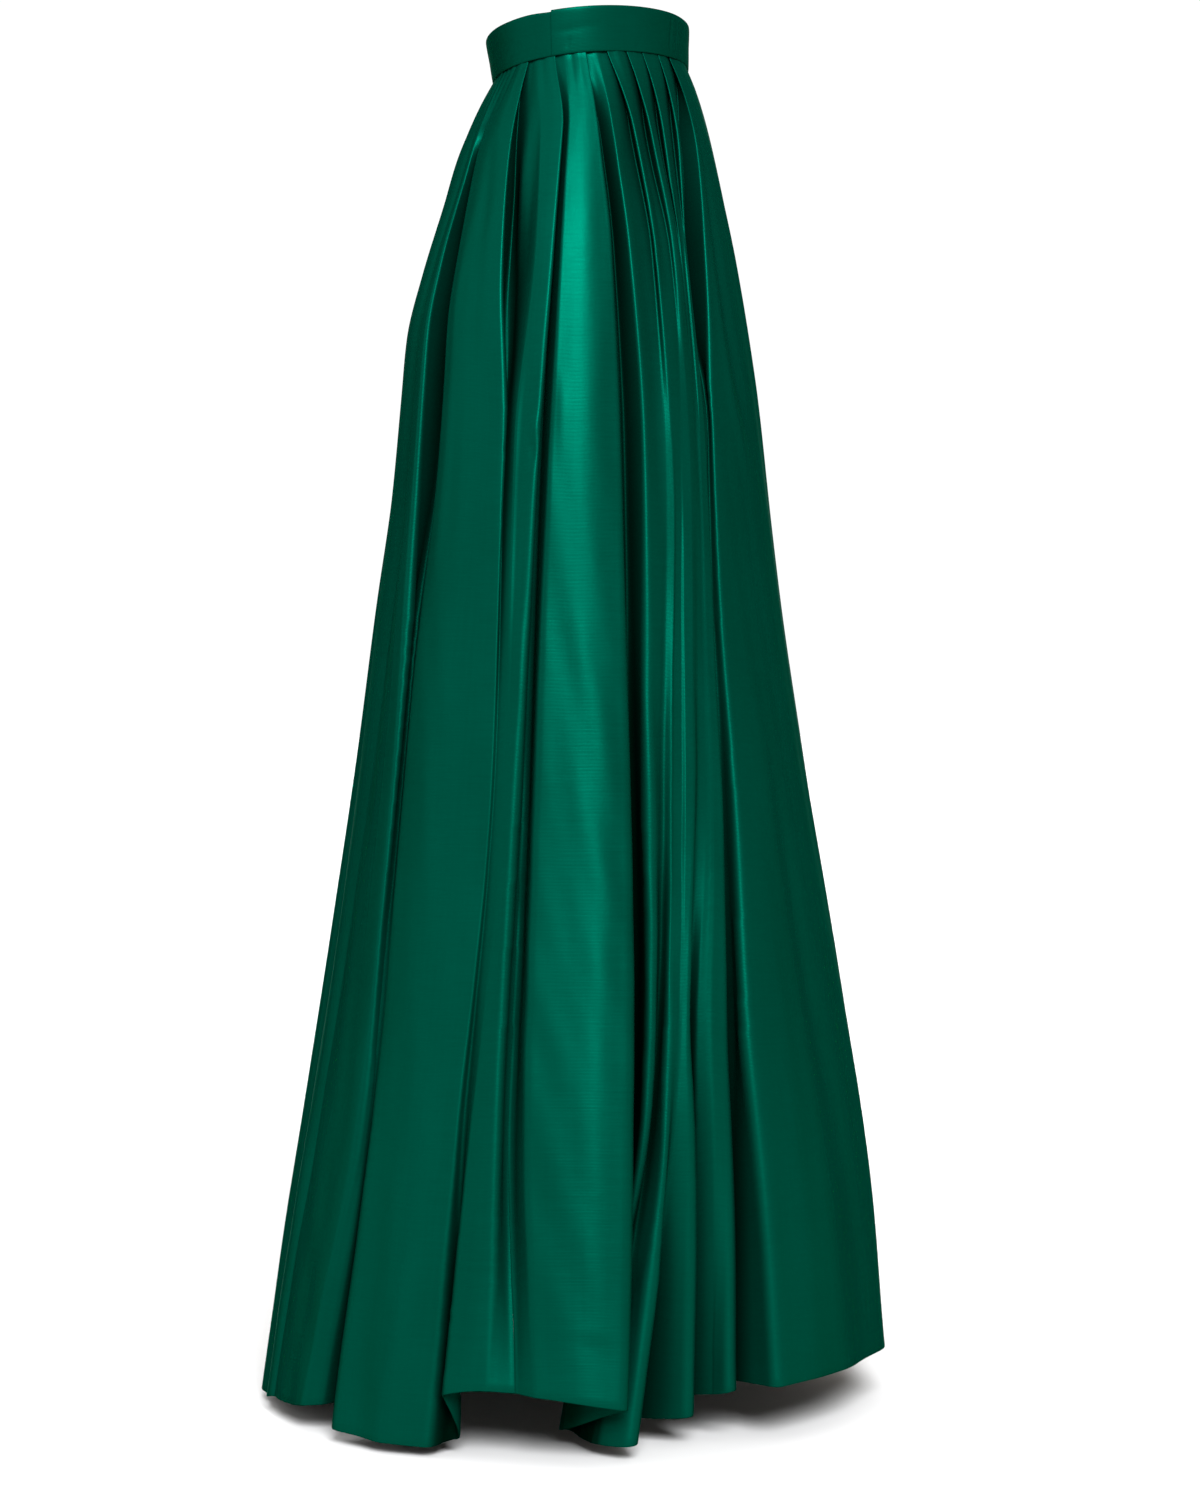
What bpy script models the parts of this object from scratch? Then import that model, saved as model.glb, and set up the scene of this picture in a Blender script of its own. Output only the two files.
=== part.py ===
"""A floor-length pleated ball gown skirt with a plain waistband.

All heights are measured from the floor the skirt stands over and are in metres.
The part's own origin is at the middle of the waist, +Z is up and the front
faces -Y. The skirt is one cloth wall, cut at the two side seams. Its form is
worked out at a row of heights: a smooth base outline, and along it a rounded
line that runs over the crest and through the valley of each fold.
"""
import math

import bpy
import numpy as np

# ---- driving sizes -------------------------------------------------------
WAIST_HEIGHT = 1.191          # middle of the waistband above the floor
BAND_HEIGHT = 0.038           # finished height of the waistband
BAND_WALL = 0.0020            # two layers of satin with interfacing
CLOTH_WALL = 0.0012           # satin with its underlining
SEAM_GAP = 0.0003             # clear gap left at every sewn seam
WAIST_TILT = 0.121            # rise of the waist toward the front, m per m
TILT_ENDS = 0.885             # height where the tilt has died out
SEAM_HEIGHT = 1.173           # seam of skirt and waistband at the sides
HEM_HEIGHT = 0.010            # lowest hem above the floor
LIFT_STARTS = 0.520           # height where the raised parts of the hem begin

# half sizes of the waistband: top ring and bottom ring (front, back, side)
BAND_TOP_RING = (0.0868, 0.0868, 0.1228)
BAND_LOW_RING = (0.0862, 0.0800, 0.1192)
BAND_STATIONS = 44            # straight facets along each half of the band

# base outline of the skirt: height, half depth front, half depth back, half width
OUTLINE = (
    (1.173, 0.0859, 0.0798, 0.119),
    (1.148, 0.0958, 0.0954, 0.130),
    (1.109, 0.1069, 0.1126, 0.147),
    (1.064, 0.1166, 0.1251, 0.164),
    (1.000, 0.1297, 0.1436, 0.183),
    (0.940, 0.1397, 0.1577, 0.196),
    (0.885, 0.1474, 0.1625, 0.205),
    (0.800, 0.1572, 0.1700, 0.216),
    (0.700, 0.1693, 0.1835, 0.226),
    (0.570, 0.1887, 0.1994, 0.239),
    (0.420, 0.2109, 0.2214, 0.254),
    (0.260, 0.2331, 0.2478, 0.272),
    (0.120, 0.2545, 0.2704, 0.288),
    (0.010, 0.2694, 0.2848, 0.302),
)

# heights the columns of the fold tables stand for: waist, upper hip, hip,
# thigh, knee, calf, hem
LEVELS = (1.173, 1.105, 1.000, 0.840, 0.580, 0.290, 0.010)

# fold names run from the centre back round the right side to the centre front;
# "front" folds lie with their folded edge toward the back, "back" folds with it
# toward the front, "soft" is a single crest with no valley of its own
FOLD_KINDS = (
    ("b6", "front"), ("b5", "front"), ("b4", "front"), ("b3", "front"),
    ("b2", "back"), ("e3", "front"), ("e4", "back"), ("near", "soft"), ("side", "back"),
    ("broad", "soft"), ("f1", "back"), ("strip", "soft"), ("f2", "front"),
    ("f3", "front"), ("f4", "front"), ("f5", "front"), ("f6", "front"),
)

# bearing of each crest at each level, degrees from the right side to the front
CREST_BEARING = {
    "b6": (-82.0, -81.0, -81.0, -82.0, -82.0, -82.0, -82.0),
    "b5": (-69.0, -68.0, -69.0, -72.0, -72.0, -71.0, -72.0),
    "b4": (-56.0, -56.0, -58.0, -60.6, -60.0, -58.0, -60.0),
    "b3": (-43.0, -42.0, -45.6, -45.0, -41.0, -40.0, -48.0),
    "b2": (-38.0, -39.4, -42.4, -42.0, -37.0, -35.0, -43.0),
    "e3": (-30.0, -33.4, -30.4, -28.4, -31.0, -29.6, -31.8),
    "e4": (-16.5, -15.4, -11.6, -6.4, -5.4, -9.4, -14.0),
    "near": (-10.0, -1.0, 2.0, -1.6, -1.8, -5.0, -8.2),
    "side": (1.5, 8.8, 7.6, 4.2, 0.4, -1.6, -1.4),
    "broad": (7.0, 12.2, 11.6, 9.8, 7.2, 6.0, 8.0),
    "f1": (19.0, 24.2, 28.6, 29.4, 27.6, 24.8, 22.0),
    "strip": (25.0, 31.4, 36.4, 38.8, 35.2, 30.8, 16.0),
    "f2": (31.0, 41.0, 46.6, 47.6, 41.4, 35.0, 25.2),
    "f3": (42.5, 49.2, 54.2, 53.4, 46.4, 39.6, 40.2),
    "f4": (52.5, 56.8, 58.4, 57.2, 50.8, 44.4, 44.0),
    "f5": (64.0, 65.8, 61.4, 60.0, 54.4, 49.4, 49.4),
    "f6": (74.0, 78.2, 71.4, 64.2, 60.2, 55.6, 56.0),
}

# bearing of each valley; it lies under its own crest where the pleat is closed
VALLEY_BEARING = {
    "b6": (-76.0, -80.0, -86.0, -88.0, -88.0, -88.0, -88.0),
    "b5": (-63.0, -67.0, -73.0, -77.0, -77.0, -76.6, -77.0),
    "b4": (-50.0, -55.4, -58.2, -63.6, -65.0, -63.0, -65.0),
    "b3": (-37.0, -41.6, -47.0, -48.4, -50.0, -51.0, -56.0),
    "b2": (-32.0, -38.0, -44.4, -44.2, -37.0, -33.4, -41.0),
    "e3": (-25.6, -32.6, -30.2, -28.4, -31.0, -30.0, -36.4),
    "e4": (-20.8, -17.4, -14.0, -7.2, -4.4, -8.0, -10.2),
    "side": (-4.5, 8.4, 6.6, 4.0, 1.6, 0.6, 3.4),
    "f1": (13.0, 27.4, 33.6, 35.2, 31.6, 27.8, 13.0),
    "f2": (37.0, 41.6, 46.0, 45.4, 39.0, 32.8, 19.0),
    "f3": (48.5, 49.8, 53.2, 51.0, 44.4, 37.0, 30.0),
    "f4": (58.5, 57.6, 57.8, 55.8, 48.9, 41.8, 41.4),
    "f5": (70.0, 66.6, 60.8, 58.4, 52.6, 46.9, 46.8),
    "f6": (80.0, 78.0, 73.2, 63.4, 57.5, 53.3, 52.4),
}

# how far each crest stands out from the base outline, millimetres
CREST_OUT = {
    "b6": (0.0, 0.0, 0.0, 0.0, 0.0, 0.0, 0.0),
    "b5": (0.0, 0.0, 0.0, 0.0, 0.0, 0.0, 0.0),
    "b4": (0.0, 0.0, 0.0, 0.0, 0.0, 0.0, 0.0),
    "b3": (0.0, 0.0, 0.0, 0.0, 0.0, 0.0, -2.0),
    "b2": (-1.0, 0.0, 0.0, 0.0, 0.0, 0.0, -2.0),
    "e3": (0.0, 0.0, 0.0, 0.0, 0.0, 0.0, 0.0),
    "e4": (0.0, 0.0, 0.0, 0.0, 0.0, 0.0, -12.0),
    "near": (-3.0, -1.0, 0.0, 0.0, 0.0, 0.0, -6.0),
    "side": (0.0, 2.0, 2.0, 2.0, 2.0, 1.0, -6.0),
    "broad": (-1.5, 0.0, 0.0, 0.0, 0.0, 1.0, -3.0),
    "f1": (0.0, 0.0, 0.0, 0.0, 2.0, 5.0, 2.0),
    "strip": (-6.0, -1.0, 0.0, -1.0, -3.0, -10.0, -66.0),
    "f2": (0.0, 0.0, 0.0, -1.0, -3.0, -8.0, -24.0),
    "f3": (0.0, 0.0, 0.0, 0.0, -1.0, -8.0, -50.0),
    "f4": (0.0, -1.0, -2.0, -2.0, -4.0, -20.0, -74.0),
    "f5": (0.0, -1.5, -3.0, -1.0, -2.0, -12.0, -42.0),
    "f6": (0.0, 0.0, 0.0, 0.0, -1.0, 0.0, -14.0),
}

# how far each valley lies in from the base outline, millimetres
VALLEY_IN = {
    "b6": (8.6, 10.0, 14.0, 20.0, 30.0, 40.0, 52.0),
    "b5": (8.6, 9.5, 11.0, 14.0, 22.0, 32.0, 44.0),
    "b4": (8.6, 9.5, 10.0, 8.0, 5.0, 3.0, 2.0),
    "b3": (8.6, 9.5, 8.5, 7.0, 4.0, 1.5, 1.0),
    "b2": (4.4, 6.0, 26.0, 30.0, 14.0, 8.0, 10.0),
    "e3": (8.6, 12.0, 30.0, 34.0, 22.0, 26.0, 80.0),
    "e4": (8.6, 15.0, 26.0, 11.0, 2.5, 6.0, 36.0),
    "side": (8.6, 15.0, 24.0, 26.0, 24.0, 17.0, 6.0),
    "f1": (8.6, 13.0, 18.0, 22.0, 26.0, 40.0, 84.0),
    "f2": (8.6, 9.5, 6.0, 4.0, 5.0, 18.0, 48.0),
    "f3": (8.6, 9.5, 4.0, 1.5, 4.0, 18.0, 88.0),
    "f4": (8.6, 9.5, 3.0, 1.2, 4.5, 34.0, 96.0),
    "f5": (8.6, 9.5, 3.0, 1.5, 4.0, 18.0, 58.0),
    "f6": (8.6, 16.0, 32.0, 7.0, 14.0, 36.0, 84.0),
}

# how far the hem hangs above its lowest line at each fold, millimetres
HEM_LIFT = {
    "b6": 0.0, "b5": 0.0, "b4": 4.0, "b3": 10.0, "b2": 14.0, "e3": 4.0, "e4": 0.0,
    "near": 45.0, "side": 52.0, "broad": 49.0, "f1": 38.0, "strip": 3.0, "f2": 4.0,
    "f3": 18.0, "f4": 30.0, "f5": 36.0, "f6": 40.0,
}
VALLEY_LIFT = {
    "b6": 0.0, "b5": 0.0, "b4": 0.0, "b3": 8.0, "b2": 16.0, "e3": 20.0, "e4": 4.0,
    "side": 50.0, "f1": 6.0, "f2": 2.0, "f3": 12.0, "f4": 28.0,
    "f5": 32.0, "f6": 38.0,
}

# rounding of the folds at each level, millimetres
CREST_ROUND = (1.45, 2.0, 3.0, 4.5, 7.0, 9.0, 9.0)
VALLEY_ROUND = (1.45, 2.0, 2.5, 4.0, 6.0, 8.0, 8.0)

# the left half repeats the right half with small differences of its own
LEFT_TURN = 1.4               # degrees
LEFT_DEPTH = 0.10             # share of a fold's depth

SECTION_HEIGHTS = (1.173, 1.152, 1.126, 1.096, 1.055, 1.000, 0.930, 0.840,
                   0.720, 0.580, 0.430, 0.290, 0.150, 0.060, 0.010)
FOLD_POINTS = 3               # points round each crest and valley
PANEL_STEP = 0.034            # spacing of the points across the panels, at the hem


def smooth_step(t):
    t = min(max(t, 0.0), 1.0)
    return t * t * (3.0 - 2.0 * t)


def slope_table(xs, ys):
    """Slopes of a smooth curve through the rows that never overshoots them."""
    step = np.diff(xs)
    rate = np.diff(ys) / step
    slope = np.zeros(len(xs))
    slope[0], slope[-1] = rate[0], rate[-1]
    for i in range(1, len(xs) - 1):
        if rate[i - 1] * rate[i] > 0.0:
            w1 = 2.0 * step[i] + step[i - 1]
            w2 = step[i] + 2.0 * step[i - 1]
            slope[i] = (w1 + w2) / (w1 / rate[i - 1] + w2 / rate[i])
    return slope


def smooth_value(x, xs, ys):
    """Value at x of the smooth curve through the table (xs rising)."""
    xs = np.asarray(xs, float)
    ys = np.asarray(ys, float)
    slope = slope_table(xs, ys)
    x = min(max(x, xs[0]), xs[-1])
    i = min(int(np.searchsorted(xs, x, side="right")) - 1, len(xs) - 2)
    h = xs[i + 1] - xs[i]
    t = (x - xs[i]) / h
    a = (1.0 + 2.0 * t) * (1.0 - t) ** 2
    b = t * (1.0 - t) ** 2
    c = t * t * (3.0 - 2.0 * t)
    d = t * t * (t - 1.0)
    return a * ys[i] + b * h * slope[i] + c * ys[i + 1] + d * h * slope[i + 1]


def smooth_row(x, xs, ys):
    """The same smooth curve for a whole row of places at once."""
    slope = slope_table(xs, ys)
    i = np.clip(np.searchsorted(xs, x, side="right") - 1, 0, len(xs) - 2)
    h = xs[i + 1] - xs[i]
    t = (x - xs[i]) / h
    a = (1.0 + 2.0 * t) * (1.0 - t) ** 2
    b = t * (1.0 - t) ** 2
    c = t * t * (3.0 - 2.0 * t)
    d = t * t * (t - 1.0)
    return a * ys[i] + b * h * slope[i] + c * ys[i + 1] + d * h * slope[i + 1]


def at_level(height, columns):
    return smooth_value(height, LEVELS[::-1], columns[::-1])


def half_sizes(height):
    """Half depth front, half depth back and half width of the base outline."""
    rows = np.array(OUTLINE)[::-1]
    return tuple(smooth_value(height, rows[:, 0], rows[:, c]) for c in (1, 2, 3))


def tilt_share(height):
    return smooth_step((height - TILT_ENDS) / (SEAM_HEIGHT - TILT_ENDS))


def base_ring(height, count=1440):
    """Dense base outline: bearing (degrees), point, outward normal, length."""
    front, back, side = half_sizes(height)
    bearing = np.linspace(-90.0, 270.0, count + 1)
    a = np.radians(bearing)
    depth = np.where(np.sin(a) > 0.0, front, back)
    point = np.stack([-side * np.cos(a), -depth * np.sin(a)], axis=1)
    normal = np.stack([-np.cos(a) / side, -np.sin(a) / depth], axis=1)
    normal /= np.linalg.norm(normal, axis=1)[:, None]
    length = np.concatenate([[0.0], np.cumsum(np.linalg.norm(np.diff(point, axis=0), axis=1))])
    return bearing, point, normal, length


def corner(name, part, bearing, out, lift, width):
    return {"name": name, "part": part, "bearing": bearing, "out": out,
            "lift": lift, "round": width}


def right_corners(height):
    """Crests and valleys of the right half, from centre back to centre front."""
    crest_round = at_level(height, CREST_ROUND)
    valley_round = at_level(height, VALLEY_ROUND)
    found = []
    for name, kind in FOLD_KINDS:
        crest = corner(name, "crest", at_level(height, CREST_BEARING[name]),
                       at_level(height, CREST_OUT[name]), HEM_LIFT[name], crest_round)
        if kind == "soft":
            found.append(crest)
            continue
        valley = corner(name, "valley", at_level(height, VALLEY_BEARING[name]),
                        -at_level(height, VALLEY_IN[name]), VALLEY_LIFT[name], valley_round)
        found += [valley, crest] if kind == "front" else [crest, valley]
    return found


def all_corners(height):
    """Crests and valleys all the way round, and the two side seam valleys."""
    right = right_corners(height)
    left = []
    open_share = smooth_step((SEAM_HEIGHT - height) / 0.10)
    for c in reversed(right):
        place = CREST_BEARING[c["name"]][-1]
        turn = LEFT_TURN * math.sin(0.05 * place + 0.6) * open_share
        depth = 1.0 + LEFT_DEPTH * math.sin(0.05 * place + 2.0) * open_share
        left.append(corner(c["name"], c["part"], 180.0 - c["bearing"] + turn,
                           c["out"] * depth, c["lift"] * depth, c["round"]))
    corners = right + left
    seams = [i for i, c in enumerate(corners) if (c["name"], c["part"]) == ("side", "valley")]
    return corners, seams


def cross2(a, b):
    return a[0] * b[1] - a[1] * b[0]


def rounded_line(spots, rounds, period):
    """Closed line that runs round a small circle at every spot.

    Works in (length along the outline, distance out). Returns the dense line
    and the running length at the middle of every circle."""
    n = len(spots)
    before = [spots[k - 1] if k else spots[-1] - (period, 0.0) for k in range(n)]
    after = [spots[k + 1] if k < n - 1 else spots[0] + (period, 0.0) for k in range(n)]
    signs, radii, ups = [], [], []
    for k in range(n):
        a = (spots[k] - before[k]) / max(np.linalg.norm(spots[k] - before[k]), 1e-9)
        b = (after[k] - spots[k]) / max(np.linalg.norm(after[k] - spots[k]), 1e-9)
        turn = math.atan2(cross2(a, b), float(a @ b))
        signs.append(1.0 if turn > 0.0 else -1.0)
        radii.append(rounds[k] * min(1.0, 0.04 + abs(turn) / 0.5))
    radii = np.array(radii)
    for _ in range(60):
        centres = [spots[k] + (0.0, signs[k] * radii[k]) for k in range(n)]
        tight = False
        for k in range(n):
            j = (k + 1) % n
            other = centres[j] + ((period, 0.0) if j == 0 else (0.0, 0.0))
            gap = np.linalg.norm(other - centres[k])
            if signs[k] != signs[j]:
                limit = 0.97 * gap
                total = radii[k] + radii[j]
                if total > limit:
                    radii[k] *= 0.93
                    radii[j] *= 0.93
                    tight = True
            elif abs(radii[k] - radii[j]) > 0.9 * gap:
                big = k if radii[k] > radii[j] else j
                radii[big] *= 0.93
                tight = True
        if not tight:
            break
    centres = [spots[k] + (0.0, signs[k] * radii[k]) for k in range(n)]
    leave, enter = [None] * n, [None] * n
    for k in range(n):
        j = (k + 1) % n
        other = centres[j] + ((period, 0.0) if j == 0 else (0.0, 0.0))
        d = other - centres[k]
        gap = np.linalg.norm(d)
        along = d / gap
        side = np.array([-along[1], along[0]])
        # signed radius: the line keeps the circle on its left (+) or right (-)
        r1, r2 = signs[k] * radii[k], signs[j] * radii[j]
        s = (r1 - r2) / gap
        c = math.sqrt(max(1.0 - s * s, 0.0))
        normal = s * along - c * side
        leave[k] = centres[k] + normal * r1
        enter[j] = other + normal * r2 - ((period, 0.0) if j == 0 else (0.0, 0.0))
    line, middle_at, total = [], [], 0.0
    for k in range(n):
        u = enter[k] - centres[k]
        v = leave[k] - centres[k]
        a0, a1 = math.atan2(u[1], u[0]), math.atan2(v[1], v[0])
        wrap = a1 - a0
        while wrap <= -math.pi:
            wrap += 2.0 * math.pi
        while wrap > math.pi:
            wrap -= 2.0 * math.pi
        if signs[k] * wrap < -0.6:
            wrap += signs[k] * 2.0 * math.pi
        if signs[k] * wrap < 0.0:
            wrap = 0.0
        steps = 12
        for i in range(steps + 1):
            a = a0 + wrap * i / steps
            p = centres[k] + radii[k] * np.array([math.cos(a), math.sin(a)])
            if line:
                total += float(np.linalg.norm(p - line[-1]))
            line.append(p)
            if i == steps // 2:
                middle_at.append(total)
        far = enter[(k + 1) % n] + ((period, 0.0) if k == n - 1 else (0.0, 0.0))
        near = line[-1]
        for i in range(1, 12):
            p = near + (far - near) * i / 12.0
            total += float(np.linalg.norm(p - line[-1]))
            line.append(p)
    total += float(np.linalg.norm(line[0] + (period, 0.0) - line[-1]))
    return np.array(line), np.array(middle_at), total, radii


def stations(corners, middle_at, total, radii, fold_points, panel_points):
    """Running lengths of the points kept on the line, the same count at all heights.

    panel_points lists how many points lie between each corner and the next."""
    n = len(corners)
    places, kinds = [], []
    reach = []
    for k in range(n):
        before = middle_at[k] - (middle_at[k - 1] if k else middle_at[-1] - total)
        after = (middle_at[k + 1] if k < n - 1 else middle_at[0] + total) - middle_at[k]
        want = max(1.75 * radii[k], 0.0022)
        reach.append(min(want, 0.36 * before, 0.36 * after))
    for k in range(n):
        for i in range(fold_points):
            places.append(middle_at[k] + reach[k] * (2.0 * i / (fold_points - 1) - 1.0))
            kinds.append((k, i))
        j = (k + 1) % n
        nxt = middle_at[j] + (total if j == 0 else 0.0)
        start, stop = middle_at[k] + reach[k], nxt - reach[j]
        for i in range(panel_points[k]):
            places.append(start + (stop - start) * (i + 1.0) / (panel_points[k] + 1.0))
            kinds.append((k, fold_points + i))
    return np.array(places), kinds


def fold_line(height):
    """Corners of one section, the rounded line over them and what goes with it."""
    bearing, point, normal, length = base_ring(height)
    period = length[-1]
    corners, seams = all_corners(height)
    spots = []
    for c in corners:
        b = c["bearing"]
        turns = math.floor((b + 90.0) / 360.0)
        s = float(np.interp(b - 360.0 * turns, bearing, length)) + turns * period
        spots.append(np.array([s, c["out"] / 1000.0]))
    rounds = [c["round"] / 1000.0 for c in corners]
    return corners, seams, period, point, normal, length, rounded_line(spots, rounds, period)


def points_across(step):
    """How many points lie across each panel: as many as its width at the hem asks."""
    corners, seams, period, point, normal, length, made = fold_line(HEM_HEIGHT)
    line, middle_at, total, radii = made
    ends = np.append(middle_at, middle_at[0] + total)
    return [int(round(width / step)) for width in np.diff(ends)]


def section(height, fold_points, panel_points):
    """Middle line of the cloth at one height, front half and back half.

    Each half is its points, the directions they face and how far the hem lifts."""
    corners, seams, period, point, normal, length, made = fold_line(height)
    line, middle_at, total, radii = made
    closed = np.vstack([line, line[0] + (period, 0.0)])
    run = np.concatenate([[0.0], np.cumsum(np.linalg.norm(np.diff(closed, axis=0), axis=1))])
    places, kinds = stations(corners, middle_at, total, radii, fold_points, panel_points)
    half_gap = 0.5 * SEAM_GAP
    cut = {kinds.index((k, fold_points // 2)): middle_at[k] for k in seams}

    def to_plane(at):
        at = np.asarray(at, float)
        laps = np.floor(at / total)
        s = np.interp(at - laps * total, run, closed[:, 0]) + laps * period
        d = np.interp(at - laps * total, run, closed[:, 1])
        turns = np.floor(s / period)
        s = s - turns * period
        p = np.stack([np.interp(s, length, point[:, 0]), np.interp(s, length, point[:, 1])], axis=1)
        m = np.stack([np.interp(s, length, normal[:, 0]), np.interp(s, length, normal[:, 1])], axis=1)
        m /= np.linalg.norm(m, axis=1)[:, None]
        return p + m * d[:, None]

    lift_at = np.array([c["lift"] for c in corners]) / 1000.0
    order = np.argsort(middle_at)
    xs = np.concatenate([[middle_at[order[-1]] - total], middle_at[order], [middle_at[order[0]] + total]])
    ys = np.concatenate([[lift_at[order[-1]]], lift_at[order], [lift_at[order[0]]]])

    def lift(at):
        at = np.asarray(at, float)
        return smooth_row(at - np.floor(at / total) * total, xs, ys)

    def facing(at):
        step = 0.0004
        d = to_plane(at + step) - to_plane(at - step)
        d /= np.linalg.norm(d, axis=1)[:, None]
        return np.stack([d[:, 1], -d[:, 0]], axis=1)

    groups = []
    keys = sorted(cut)
    n = len(places)
    for a, b in ((keys[0], keys[1]), (keys[1], keys[0] + n)):
        inner = places[[i % n for i in range(a + 1, b)]] + np.array(
            [total if i >= n else 0.0 for i in range(a + 1, b)])
        start = cut[a] + half_gap
        stop = cut[b % n] + (total if b >= n else 0.0) - half_gap
        at = np.concatenate([[start], inner, [stop]])
        groups.append((to_plane(at), facing(at), lift(at)))
    return groups


def true_height(height, y, lift):
    """Height above the floor of a point of the section at a nominal height."""
    share = smooth_step((LIFT_STARTS - height) / (LIFT_STARTS - HEM_HEIGHT)) ** 1.3
    return height + WAIST_TILT * tilt_share(height) * -y + lift * share


def skirt_walls(heights, fold_points, panel_step, wall):
    """Outer and inner grids of the front half and the back half of the skirt."""
    panel_points = points_across(panel_step)
    halves = [([], []), ([], [])]
    for height in heights:
        low = height - (SEAM_GAP if height == SEAM_HEIGHT else 0.0)
        for half, (point, face, lift) in enumerate(section(height, fold_points, panel_points)):
            up = np.array([true_height(low, y, li) for y, li in zip(point[:, 1], lift)])
            for side, sign in ((0, 0.5), (1, -0.5)):
                flat = point + face * (sign * wall)
                row = np.stack([flat[:, 0], flat[:, 1], up - WAIST_HEIGHT], axis=1)
                halves[half][side].append(row)
    return [(np.array(outer), np.array(inner)) for outer, inner in halves]


def closed_wall(name, outer, inner, collection, material):
    """One closed body from an outer and an inner grid (rows down, columns along)."""
    rows, cols = outer.shape[:2]
    count = rows * cols
    verts = np.concatenate([outer.reshape(-1, 3), inner.reshape(-1, 3)])
    faces = []

    def quad(a, b, c, d):
        faces.append((a, b, c))
        faces.append((a, c, d))

    for r in range(rows - 1):
        for c in range(cols - 1):
            a, b = r * cols + c, r * cols + c + 1
            d, e = a + cols, b + cols
            faces.append((a, d, e))
            faces.append((a, e, b))
            faces.append((count + a, count + e, count + d))
            faces.append((count + a, count + b, count + e))
    for c in range(cols - 1):
        quad(c, c + 1, count + c + 1, count + c)
        low = (rows - 1) * cols + c
        quad(low, count + low, count + low + 1, low + 1)
    for r in range(rows - 1):
        a = r * cols
        quad(a, count + a, count + a + cols, a + cols)
        b = a + cols - 1
        quad(b, b + cols, count + b + cols, count + b)
    mesh = bpy.data.meshes.new(name)
    mesh.from_pydata([tuple(v) for v in verts], [], faces)
    mesh.update()
    mesh.materials.append(material)
    made = bpy.data.objects.new(name, mesh)
    collection.objects.link(made)
    return made


def band_half(front):
    """Outer and inner grids of one half of the waistband."""
    start, stop = (0.0, 180.0) if front else (180.0, 360.0)
    rings = []
    bearing = np.radians(np.linspace(start, stop, BAND_STATIONS + 1))
    for sizes, level in ((BAND_TOP_RING, 1.0), (BAND_LOW_RING, 0.0)):
        grids = []
        for inset in (0.0, BAND_WALL):
            f, b, w = (v + 0.0008 - inset for v in sizes)
            deep = f if front else b
            x = -w * np.cos(bearing)
            y = -deep * np.sin(bearing)
            # leave half a seam gap at both side seams
            clear = 0.5 * SEAM_GAP
            y[0] = y[-1] = -clear if front else clear
            z = SEAM_HEIGHT + level * BAND_HEIGHT + WAIST_TILT * -y - WAIST_HEIGHT
            grids.append(np.stack([x, y, z], axis=1))
        rings.append(grids)
    outer = np.array([rings[0][0], rings[1][0]])
    inner = np.array([rings[0][1], rings[1][1]])
    return outer, inner


def satin(name, color):
    made = bpy.data.materials.new(name)
    made.use_nodes = True
    shader = made.node_tree.nodes["Principled BSDF"]
    shader.inputs["Base Color"].default_value = color
    shader.inputs["Roughness"].default_value = 0.38
    made.diffuse_color = color
    return made


def main():
    for old in list(bpy.data.objects):
        bpy.data.objects.remove(old, do_unlink=True)
    scene = bpy.context.scene
    scene.unit_settings.system = "METRIC"
    scene.unit_settings.scale_length = 1.0
    parts = bpy.data.collections.new("parts")
    scene.collection.children.link(parts)
    halves = skirt_walls(SECTION_HEIGHTS, FOLD_POINTS, PANEL_STEP, CLOTH_WALL)
    for name, (outer, inner) in zip(("skirt_front", "skirt_back"), halves):
        closed_wall(name, outer, inner, parts, satin("satin_" + name, (0.0, 0.16, 0.10, 1.0)))
    for name, front in (("waistband_front", True), ("waistband_back", False)):
        outer, inner = band_half(front)
        closed_wall(name, outer, inner, parts, satin("satin_" + name, (0.0, 0.14, 0.09, 1.0)))


main()
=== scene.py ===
"""Pleated ball gown skirt in green satin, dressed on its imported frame."""
import math

import bpy
import numpy as np
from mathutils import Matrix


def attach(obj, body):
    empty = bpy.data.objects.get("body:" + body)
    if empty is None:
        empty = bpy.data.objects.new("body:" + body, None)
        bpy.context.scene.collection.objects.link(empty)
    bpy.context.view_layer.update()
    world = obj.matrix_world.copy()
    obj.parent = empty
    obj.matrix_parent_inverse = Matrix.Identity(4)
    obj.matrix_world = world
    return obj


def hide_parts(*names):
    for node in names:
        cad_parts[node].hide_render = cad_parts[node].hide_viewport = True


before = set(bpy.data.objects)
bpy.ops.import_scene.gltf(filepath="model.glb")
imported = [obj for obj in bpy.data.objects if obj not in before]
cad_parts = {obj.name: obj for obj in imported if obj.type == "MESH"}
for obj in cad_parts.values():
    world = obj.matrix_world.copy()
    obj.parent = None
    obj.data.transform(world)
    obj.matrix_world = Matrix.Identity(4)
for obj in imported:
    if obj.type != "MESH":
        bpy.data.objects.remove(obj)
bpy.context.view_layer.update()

# ---- sizes, metres; heights are above the floor the skirt stands over -----
WAIST_HEIGHT = 1.191
BAND_HEIGHT = 0.038
WAIST_TILT = 0.121            # rise toward the front, metre a metre
TILT_ENDS = 0.885             # the tilt has faded out at this height
SEAM_HEIGHT = 1.173
HEM_HEIGHT = 0.010
LIFT_STARTS = 0.520           # below this height the hem's lift sets in
SEAM_GAP = 0.00004            # between the halves at the side seams
SEAM_ALLOWANCE = 0.006        # cloth that runs up inside the waistband
HEM_TURNING = 0.030           # cloth turned up inside the hem
HEM_FOLD_RADIUS = 0.0008      # of the folded edge at the hem
ROW_STEP = 0.0070             # from one row of the cloth mesh to the next
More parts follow.
